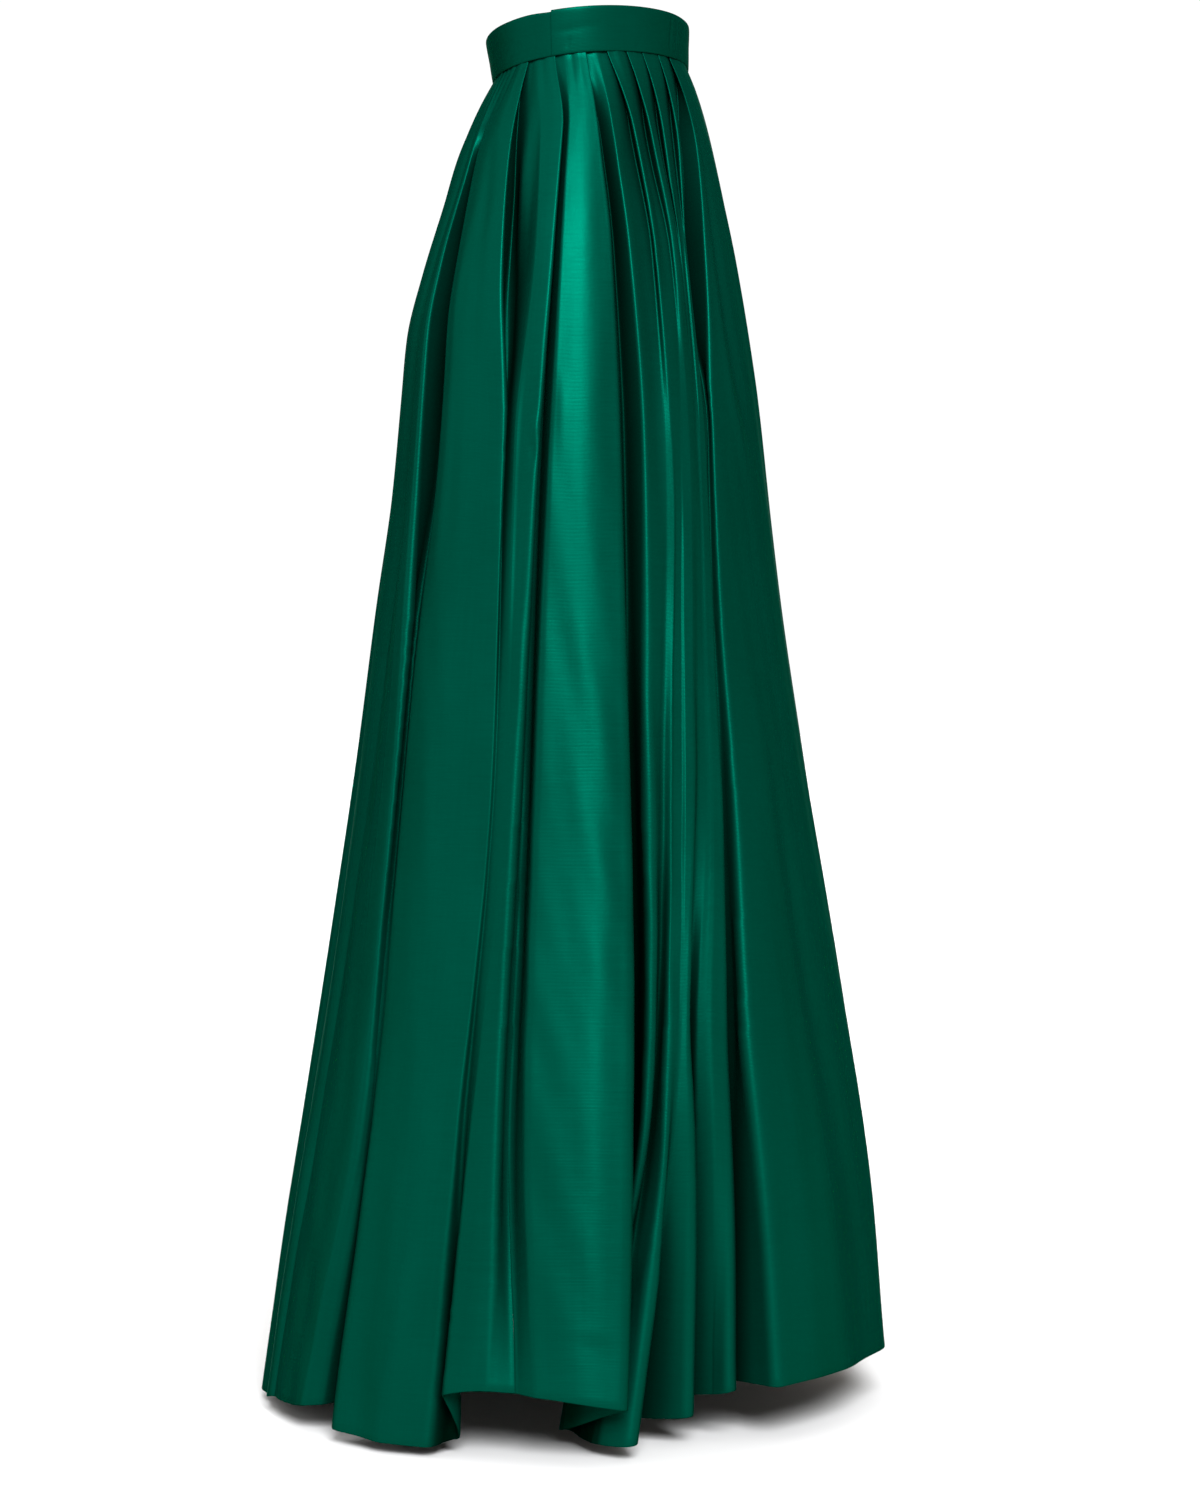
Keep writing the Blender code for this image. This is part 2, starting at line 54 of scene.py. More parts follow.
FOLD_POINTS = 9               # points of a row round each fold
PANEL_STEP = 0.0062           # between the points of a row across a panel

# half sizes of the waistband: top ring and bottom ring (front, back, side)
BAND_TOP_RING = (0.0868, 0.0868, 0.1228)
BAND_LOW_RING = (0.0862, 0.0800, 0.1192)

# base outline of the skirt: height, half depth front, half depth back, half width
OUTLINE = (
    (1.173, 0.0859, 0.0798, 0.119),
    (1.148, 0.0958, 0.0954, 0.130),
    (1.109, 0.1069, 0.1126, 0.147),
    (1.064, 0.1166, 0.1251, 0.164),
    (1.000, 0.1297, 0.1436, 0.183),
    (0.940, 0.1397, 0.1577, 0.196),
    (0.885, 0.1474, 0.1625, 0.205),
    (0.800, 0.1572, 0.1700, 0.216),
    (0.700, 0.1693, 0.1835, 0.226),
    (0.570, 0.1887, 0.1994, 0.239),
    (0.420, 0.2109, 0.2214, 0.254),
    (0.260, 0.2331, 0.2478, 0.272),
    (0.120, 0.2545, 0.2704, 0.288),
    (0.010, 0.2694, 0.2848, 0.302),
)

# heights the columns of the fold tables stand for: waist, upper hip, hip,
# thigh, knee, calf, hem
LEVELS = (1.173, 1.105, 1.000, 0.840, 0.580, 0.290, 0.010)

# fold names run from the centre back round the right side to the centre front;
# "front" folds lie with their folded edge toward the back, "back" folds with it
# toward the front, "soft" is a single crest with no valley of its own
FOLD_KINDS = (
    ("b6", "front"), ("b5", "front"), ("b4", "front"), ("b3", "front"),
    ("b2", "back"), ("e3", "front"), ("e4", "back"), ("near", "soft"), ("side", "back"),
    ("broad", "soft"), ("f1", "back"), ("strip", "soft"), ("f2", "front"),
    ("f3", "front"), ("f4", "front"), ("f5", "front"), ("f6", "front"),
)

# bearing of each crest at each level, degrees from the right side to the front
CREST_BEARING = {
    "b6": (-82.0, -81.0, -81.0, -82.0, -82.0, -82.0, -82.0),
    "b5": (-69.0, -68.0, -69.0, -72.0, -72.0, -71.0, -72.0),
    "b4": (-56.0, -56.0, -58.0, -60.6, -60.0, -58.0, -60.0),
    "b3": (-43.0, -42.0, -45.6, -45.0, -41.0, -40.0, -48.0),
    "b2": (-38.0, -39.4, -42.4, -42.0, -37.0, -35.0, -43.0),
    "e3": (-30.0, -33.4, -30.4, -28.4, -31.0, -29.6, -31.8),
    "e4": (-16.5, -15.4, -11.6, -6.4, -5.4, -9.4, -14.0),
    "near": (-10.0, -1.0, 2.0, -1.6, -1.8, -5.0, -8.2),
    "side": (1.5, 8.8, 7.6, 4.2, 0.4, -1.6, -1.4),
    "broad": (7.0, 12.2, 11.6, 9.8, 7.2, 6.0, 8.0),
    "f1": (19.0, 24.2, 28.6, 29.4, 27.6, 24.8, 22.0),
    "strip": (25.0, 31.4, 36.4, 38.8, 35.2, 30.8, 16.0),
    "f2": (31.0, 41.0, 46.6, 47.6, 41.4, 35.0, 25.2),
    "f3": (42.5, 49.2, 54.2, 53.4, 46.4, 39.6, 40.2),
    "f4": (52.5, 56.8, 58.4, 57.2, 50.8, 44.4, 44.0),
    "f5": (64.0, 65.8, 61.4, 60.0, 54.4, 49.4, 49.4),
    "f6": (74.0, 78.2, 71.4, 64.2, 60.2, 55.6, 56.0),
}

# bearing of each valley; it lies under its own crest where the pleat is closed
VALLEY_BEARING = {
    "b6": (-76.0, -80.0, -86.0, -88.0, -88.0, -88.0, -88.0),
    "b5": (-63.0, -67.0, -73.0, -77.0, -77.0, -76.6, -77.0),
    "b4": (-50.0, -55.4, -58.2, -63.6, -65.0, -63.0, -65.0),
    "b3": (-37.0, -41.6, -47.0, -48.4, -50.0, -51.0, -56.0),
    "b2": (-32.0, -38.0, -44.4, -44.2, -37.0, -33.4, -41.0),
    "e3": (-25.6, -32.6, -30.2, -28.4, -31.0, -30.0, -36.4),
    "e4": (-20.8, -17.4, -14.0, -7.2, -4.4, -8.0, -10.2),
    "side": (-4.5, 8.4, 6.6, 4.0, 1.6, 0.6, 3.4),
    "f1": (13.0, 27.4, 33.6, 35.2, 31.6, 27.8, 13.0),
    "f2": (37.0, 41.6, 46.0, 45.4, 39.0, 32.8, 19.0),
    "f3": (48.5, 49.8, 53.2, 51.0, 44.4, 37.0, 30.0),
    "f4": (58.5, 57.6, 57.8, 55.8, 48.9, 41.8, 41.4),
    "f5": (70.0, 66.6, 60.8, 58.4, 52.6, 46.9, 46.8),
    "f6": (80.0, 78.0, 73.2, 63.4, 57.5, 53.3, 52.4),
}

# how far each crest stands out from the base outline, millimetres
CREST_OUT = {
    "b6": (0.0, 0.0, 0.0, 0.0, 0.0, 0.0, 0.0),
    "b5": (0.0, 0.0, 0.0, 0.0, 0.0, 0.0, 0.0),
    "b4": (0.0, 0.0, 0.0, 0.0, 0.0, 0.0, 0.0),
    "b3": (0.0, 0.0, 0.0, 0.0, 0.0, 0.0, -2.0),
    "b2": (-0.4, 0.0, 0.0, 0.0, 0.0, 0.0, -2.0),
    "e3": (0.0, 0.0, 0.0, 0.0, 0.0, 0.0, 0.0),
    "e4": (0.0, 0.0, 0.0, 0.0, 0.0, 0.0, -12.0),
    "near": (-0.8, -1.0, 0.0, 0.0, 0.0, 0.0, -6.0),
    "side": (0.0, 2.0, 2.0, 2.0, 2.0, 1.0, -6.0),
    "broad": (-0.7, 0.0, 0.0, 0.0, 0.0, 1.0, -3.0),
    "f1": (0.0, 0.0, 0.0, 0.0, 2.0, 5.0, 2.0),
    "strip": (-1.3, -1.0, 0.0, -1.0, -3.0, -10.0, -66.0),
    "f2": (0.0, 0.0, 0.0, -1.0, -3.0, -8.0, -24.0),
    "f3": (0.0, 0.0, 0.0, 0.0, -1.0, -8.0, -50.0),
    "f4": (0.0, -1.0, -2.0, -2.0, -4.0, -20.0, -74.0),
    "f5": (0.0, -1.5, -3.0, -1.0, -2.0, -12.0, -42.0),
    "f6": (0.0, 0.0, 0.0, 0.0, -1.0, 0.0, -14.0),
}

# how far each valley lies in from the base outline, millimetres
VALLEY_IN = {
    "b6": (2.4, 10.0, 14.0, 20.0, 30.0, 40.0, 52.0),
    "b5": (2.4, 9.5, 11.0, 14.0, 22.0, 32.0, 44.0),
    "b4": (2.4, 9.5, 10.0, 8.0, 5.0, 3.0, 2.0),
    "b3": (2.4, 9.5, 8.5, 7.0, 4.0, 1.5, 1.0),
    "b2": (1.3, 6.0, 26.0, 30.0, 14.0, 8.0, 10.0),
    "e3": (2.4, 12.0, 30.0, 34.0, 22.0, 26.0, 80.0),
    "e4": (2.4, 15.0, 26.0, 11.0, 2.5, 6.0, 36.0),
    "side": (2.4, 15.0, 24.0, 26.0, 26.0, 22.0, 13.0),
    "f1": (2.4, 13.0, 18.0, 22.0, 26.0, 40.0, 84.0),
    "f2": (2.4, 9.5, 6.0, 4.0, 8.0, 24.0, 48.0),
    "f3": (2.4, 9.5, 4.0, 1.0, 2.0, 11.0, 88.0),
    "f4": (2.4, 9.5, 3.0, 1.2, 4.5, 34.0, 96.0),
    "f5": (2.4, 9.5, 3.0, 1.0, 2.5, 13.0, 58.0),
    "f6": (2.4, 16.0, 32.0, 7.0, 14.0, 36.0, 84.0),
}

# how far the hem hangs above its lowest line at each fold, millimetres
HEM_LIFT = {
    "b6": 0.0, "b5": 0.0, "b4": 4.0, "b3": 10.0, "b2": 14.0, "e3": 4.0, "e4": 0.0,
    "near": 45.0, "side": 52.0, "broad": 49.0, "f1": 38.0, "strip": 3.0, "f2": 4.0,
    "f3": 18.0, "f4": 30.0, "f5": 36.0, "f6": 40.0,
}
VALLEY_LIFT = {
    "b6": 0.0, "b5": 0.0, "b4": 0.0, "b3": 8.0, "b2": 16.0, "e3": 20.0, "e4": 4.0,
    "side": 50.0, "f1": 6.0, "f2": 2.0, "f3": 12.0, "f4": 28.0,
    "f5": 32.0, "f6": 38.0,
}

# rounding of the folds at each level, millimetres
CREST_ROUND = (0.35, 1.2, 2.2, 4.0, 7.0, 9.0, 9.0)
VALLEY_ROUND = (0.35, 0.8, 1.6, 3.0, 6.0, 8.0, 8.0)

# the left half repeats the right half with small differences of its own
LEFT_TURN = 1.4               # degrees
LEFT_DEPTH = 0.10             # share of a fold's depth


def smooth_step(t):
    t = min(max(t, 0.0), 1.0)
    return t * t * (3.0 - 2.0 * t)


def slope_table(xs, ys):
    """Slopes of a smooth curve through the rows that never overshoots them."""
    step = np.diff(xs)
    rate = np.diff(ys) / step
    slope = np.zeros(len(xs))
    slope[0], slope[-1] = rate[0], rate[-1]
    for i in range(1, len(xs) - 1):
        if rate[i - 1] * rate[i] > 0.0:
            w1 = 2.0 * step[i] + step[i - 1]
            w2 = step[i] + 2.0 * step[i - 1]
            slope[i] = (w1 + w2) / (w1 / rate[i - 1] + w2 / rate[i])
    return slope


def smooth_value(x, xs, ys):
    """Value at x of the smooth curve through the table (xs rising)."""
    xs = np.asarray(xs, float)
    ys = np.asarray(ys, float)
    slope = slope_table(xs, ys)
    x = min(max(x, xs[0]), xs[-1])
    i = min(int(np.searchsorted(xs, x, side="right")) - 1, len(xs) - 2)
    h = xs[i + 1] - xs[i]
    t = (x - xs[i]) / h
    a = (1.0 + 2.0 * t) * (1.0 - t) ** 2
    b = t * (1.0 - t) ** 2
    c = t * t * (3.0 - 2.0 * t)
    d = t * t * (t - 1.0)
    return a * ys[i] + b * h * slope[i] + c * ys[i + 1] + d * h * slope[i + 1]


def smooth_row(x, xs, ys):
    """The same smooth curve for a whole row of places at once."""
    slope = slope_table(xs, ys)
    i = np.clip(np.searchsorted(xs, x, side="right") - 1, 0, len(xs) - 2)
    h = xs[i + 1] - xs[i]
    t = (x - xs[i]) / h
    a = (1.0 + 2.0 * t) * (1.0 - t) ** 2
    b = t * (1.0 - t) ** 2
    c = t * t * (3.0 - 2.0 * t)
    d = t * t * (t - 1.0)
    return a * ys[i] + b * h * slope[i] + c * ys[i + 1] + d * h * slope[i + 1]


def at_level(height, columns):
    return smooth_value(height, LEVELS[::-1], columns[::-1])


def half_sizes(height):
    """Half depth front, half depth back and half width of the base outline."""
    rows = np.array(OUTLINE)[::-1]
    return tuple(smooth_value(height, rows[:, 0], rows[:, c]) for c in (1, 2, 3))


def tilt_share(height):
    return smooth_step((height - TILT_ENDS) / (SEAM_HEIGHT - TILT_ENDS))


def base_ring(height, count=1440):
    """Dense base outline: bearing (degrees), point, outward normal, length."""
    front, back, side = half_sizes(height)
    bearing = np.linspace(-90.0, 270.0, count + 1)
    a = np.radians(bearing)
    depth = np.where(np.sin(a) > 0.0, front, back)
    point = np.stack([-side * np.cos(a), -depth * np.sin(a)], axis=1)
    normal = np.stack([-np.cos(a) / side, -np.sin(a) / depth], axis=1)
    normal /= np.linalg.norm(normal, axis=1)[:, None]
    length = np.concatenate([[0.0], np.cumsum(np.linalg.norm(np.diff(point, axis=0), axis=1))])
    return bearing, point, normal, length


def corner(name, part, bearing, out, lift, width):
    return {"name": name, "part": part, "bearing": bearing, "out": out,
            "lift": lift, "round": width}


def right_corners(height):
    """Crests and valleys of the right half, from centre back to centre front."""
    crest_round = at_level(height, CREST_ROUND)
    valley_round = at_level(height, VALLEY_ROUND)
    found = []
    for name, kind in FOLD_KINDS:
        crest = corner(name, "crest", at_level(height, CREST_BEARING[name]),
                       at_level(height, CREST_OUT[name]), HEM_LIFT[name], crest_round)
        if kind == "soft":
            found.append(crest)
            continue
        valley = corner(name, "valley", at_level(height, VALLEY_BEARING[name]),
                        -at_level(height, VALLEY_IN[name]), VALLEY_LIFT[name], valley_round)
        found += [valley, crest] if kind == "front" else [crest, valley]
    return found


def all_corners(height):
    """Crests and valleys all the way round, and the two side seam valleys."""
    right = right_corners(height)
    left = []
    open_share = smooth_step((SEAM_HEIGHT - height) / 0.10)
    for c in reversed(right):
        place = CREST_BEARING[c["name"]][-1]
        turn = LEFT_TURN * math.sin(0.05 * place + 0.6) * open_share
        depth = 1.0 + LEFT_DEPTH * math.sin(0.05 * place + 2.0) * open_share
        left.append(corner(c["name"], c["part"], 180.0 - c["bearing"] + turn,
                           c["out"] * depth, c["lift"] * depth, c["round"]))
    corners = right + left
    seams = [i for i, c in enumerate(corners) if (c["name"], c["part"]) == ("side", "valley")]
    return corners, seams


def cross2(a, b):
    return a[0] * b[1] - a[1] * b[0]


def rounded_line(spots, rounds, period):
    """Closed line that runs round a small circle at every spot.

    Works in (length along the outline, distance out). Returns the dense line
    and the running length at the middle of every circle."""
    n = len(spots)
    before = [spots[k - 1] if k else spots[-1] - (period, 0.0) for k in range(n)]
    after = [spots[k + 1] if k < n - 1 else spots[0] + (period, 0.0) for k in range(n)]
    signs, radii, ups = [], [], []
    for k in range(n):
        a = (spots[k] - before[k]) / max(np.linalg.norm(spots[k] - before[k]), 1e-9)
        b = (after[k] - spots[k]) / max(np.linalg.norm(after[k] - spots[k]), 1e-9)
        turn = math.atan2(cross2(a, b), float(a @ b))
        signs.append(1.0 if turn > 0.0 else -1.0)
        radii.append(rounds[k] * min(1.0, 0.04 + abs(turn) / 0.5))
    radii = np.array(radii)
    for _ in range(60):
        centres = [spots[k] + (0.0, signs[k] * radii[k]) for k in range(n)]
        tight = False
        for k in range(n):
            j = (k + 1) % n
            other = centres[j] + ((period, 0.0) if j == 0 else (0.0, 0.0))
            gap = np.linalg.norm(other - centres[k])
            if signs[k] != signs[j]:
                limit = 0.97 * gap
                total = radii[k] + radii[j]
                if total > limit:
                    radii[k] *= 0.93
                    radii[j] *= 0.93
                    tight = True
            elif abs(radii[k] - radii[j]) > 0.9 * gap:
                big = k if radii[k] > radii[j] else j
                radii[big] *= 0.93
                tight = True
        if not tight:
            break
    centres = [spots[k] + (0.0, signs[k] * radii[k]) for k in range(n)]
    leave, enter = [None] * n, [None] * n
    for k in range(n):
        j = (k + 1) % n
        other = centres[j] + ((period, 0.0) if j == 0 else (0.0, 0.0))
        d = other - centres[k]
        gap = np.linalg.norm(d)
        along = d / gap
        side = np.array([-along[1], along[0]])
        # signed radius: the line keeps the circle on its left (+) or right (-)
        r1, r2 = signs[k] * radii[k], signs[j] * radii[j]
        s = (r1 - r2) / gap
        c = math.sqrt(max(1.0 - s * s, 0.0))
        normal = s * along - c * side
        leave[k] = centres[k] + normal * r1
        enter[j] = other + normal * r2 - ((period, 0.0) if j == 0 else (0.0, 0.0))
    line, middle_at, total = [], [], 0.0
    for k in range(n):
        u = enter[k] - centres[k]
        v = leave[k] - centres[k]
        a0, a1 = math.atan2(u[1], u[0]), math.atan2(v[1], v[0])
        wrap = a1 - a0
        while wrap <= -math.pi:
            wrap += 2.0 * math.pi
        while wrap > math.pi:
            wrap -= 2.0 * math.pi
        if signs[k] * wrap < -0.6:
            wrap += signs[k] * 2.0 * math.pi
        if signs[k] * wrap < 0.0:
            wrap = 0.0
        steps = 12
        for i in range(steps + 1):
            a = a0 + wrap * i / steps
            p = centres[k] + radii[k] * np.array([math.cos(a), math.sin(a)])
            if line:
                total += float(np.linalg.norm(p - line[-1]))
            line.append(p)
            if i == steps // 2:
                middle_at.append(total)
        far = enter[(k + 1) % n] + ((period, 0.0) if k == n - 1 else (0.0, 0.0))
        near = line[-1]
        for i in range(1, 12):
            p = near + (far - near) * i / 12.0
            total += float(np.linalg.norm(p - line[-1]))
            line.append(p)
    total += float(np.linalg.norm(line[0] + (period, 0.0) - line[-1]))
    return np.array(line), np.array(middle_at), total, radii


def stations(corners, middle_at, total, radii, fold_points, panel_points):
    """Running lengths of the points kept on the line, the same count at all heights.

    panel_points lists how many points lie between each corner and the next."""
    n = len(corners)
    places, kinds = [], []
    reach = []
    for k in range(n):
        before = middle_at[k] - (middle_at[k - 1] if k else middle_at[-1] - total)
        after = (middle_at[k + 1] if k < n - 1 else middle_at[0] + total) - middle_at[k]
        want = max(1.75 * radii[k], 0.0022)
        reach.append(min(want, 0.36 * before, 0.36 * after))
    for k in range(n):
        for i in range(fold_points):
            places.append(middle_at[k] + reach[k] * (2.0 * i / (fold_points - 1) - 1.0))
            kinds.append((k, i))
        j = (k + 1) % n
        nxt = middle_at[j] + (total if j == 0 else 0.0)
        start, stop = middle_at[k] + reach[k], nxt - reach[j]
        for i in range(panel_points[k]):
            places.append(start + (stop - start) * (i + 1.0) / (panel_points[k] + 1.0))
            kinds.append((k, fold_points + i))
    return np.array(places), kinds


def fold_line(height):
    """Corners of one section, the rounded line over them and what goes with it."""
    bearing, point, normal, length = base_ring(height)
    period = length[-1]
    corners, seams = all_corners(height)
    spots = []
    for c in corners:
        b = c["bearing"]
        turns = math.floor((b + 90.0) / 360.0)
        s = float(np.interp(b - 360.0 * turns, bearing, length)) + turns * period
        spots.append(np.array([s, c["out"] / 1000.0]))
    rounds = [c["round"] / 1000.0 for c in corners]
    return corners, seams, period, point, normal, length, rounded_line(spots, rounds, period)


def points_across(step):
    """How many points lie across each panel: as many as its width at the hem asks."""
    line, middle_at, total, radii = fold_line(HEM_HEIGHT)[-1]
    ends = np.append(middle_at, middle_at[0] + total)
    return [int(round(width / step)) for width in np.diff(ends)]


def section(height, fold_points, panel_points):
    """Middle line of the cloth at one height, front half and back half.

    Each half is its points, the directions they face and how far the hem lifts."""
    corners, seams, period, point, normal, length, made = fold_line(height)
    line, middle_at, total, radii = made
    closed = np.vstack([line, line[0] + (period, 0.0)])
    run = np.concatenate([[0.0], np.cumsum(np.linalg.norm(np.diff(closed, axis=0), axis=1))])
    places, kinds = stations(corners, middle_at, total, radii, fold_points, panel_points)
    half_gap = 0.5 * SEAM_GAP
    cut = {kinds.index((k, fold_points // 2)): middle_at[k] for k in seams}

    def to_plane(at):
        at = np.asarray(at, float)
        laps = np.floor(at / total)
        s = np.interp(at - laps * total, run, closed[:, 0]) + laps * period
        d = np.interp(at - laps * total, run, closed[:, 1])
        d = d + relief(height, at, middle_at, total, corners)
        turns = np.floor(s / period)
        s = s - turns * period
        p = np.stack([np.interp(s, length, point[:, c]) for c in (0, 1)], axis=1)
        m = np.stack([np.interp(s, length, normal[:, c]) for c in (0, 1)], axis=1)
        m /= np.linalg.norm(m, axis=1)[:, None]
        return p + m * d[:, None]

    lift_at = np.array([c["lift"] for c in corners]) / 1000.0
    order = np.argsort(middle_at)
    xs, ys = middle_at[order], lift_at[order]
    xs = np.concatenate([[xs[-1] - total], xs, [xs[0] + total]])
    ys = np.concatenate([[ys[-1]], ys, [ys[0]]])

    def lift(at):
        at = np.asarray(at, float)
        return smooth_row(at - np.floor(at / total) * total, xs, ys)

    def facing(at):
        step = 0.0004
        d = to_plane(at + step) - to_plane(at - step)
        d /= np.linalg.norm(d, axis=1)[:, None]
        return np.stack([d[:, 1], -d[:, 0]], axis=1)

    groups = []
    keys = sorted(cut)
    n = len(places)
    for a, b in ((keys[0], keys[1]), (keys[1], keys[0] + n)):
        inner = places[[i % n for i in range(a + 1, b)]] + np.array(
            [total if i >= n else 0.0 for i in range(a + 1, b)])
        start = cut[a] + half_gap
        stop = cut[b % n] + (total if b >= n else 0.0) - half_gap
        at = np.concatenate([[start], inner, [stop]])
        groups.append((to_plane(at), facing(at), lift(at)))
    return groups


def true_height(height, y, lift):
    """Height above the floor of a point of the section at a nominal height."""
    share = smooth_step((LIFT_STARTS - height) / (LIFT_STARTS - HEM_HEIGHT)) ** 1.3
    return height + WAIST_TILT * tilt_share(height) * -y + lift * share


def mix(a, b, t):
    return a + (b - a) * t


# ---- soft relief on top of the folds: crowns, creases, puckers, waves ------
# panel that starts at this corner: crown as a share of its width (+ stands out)
CROWNS = {
    ("e3", "crest"): 0.030, ("e4", "valley"): -0.020, ("near", "crest"): 0.020,
    ("broad", "crest"): 0.026, ("f2", "crest"): 0.045, ("f4", "crest"): 0.035,
    ("f6", "crest"): 0.012, ("b3", "crest"): 0.030, ("b5", "crest"): 0.035,
    ("b6", "crest"): 0.035,
}
CROWN_ELSE = 0.025
CROWN_MOST = 0.0045           # metres
CROWN_NARROW = 0.012          # panels up to this width stay flat
CROWN_FADE = 0.03             # and wider ones reach their full crown over this

# small puckers just under the waist seam: share across the panel they lie at
PUCKERS = (0.30, 0.62)
PUCKER_HEIGHT = 1.118         # they start here and are full at the seam
PUCKER_FADE = 0.045
PUCKER_DEPTH = 0.0007
PUCKER_WIDTH = 0.0022
PUCKER_PANEL = 0.007          # narrowest panel that has any

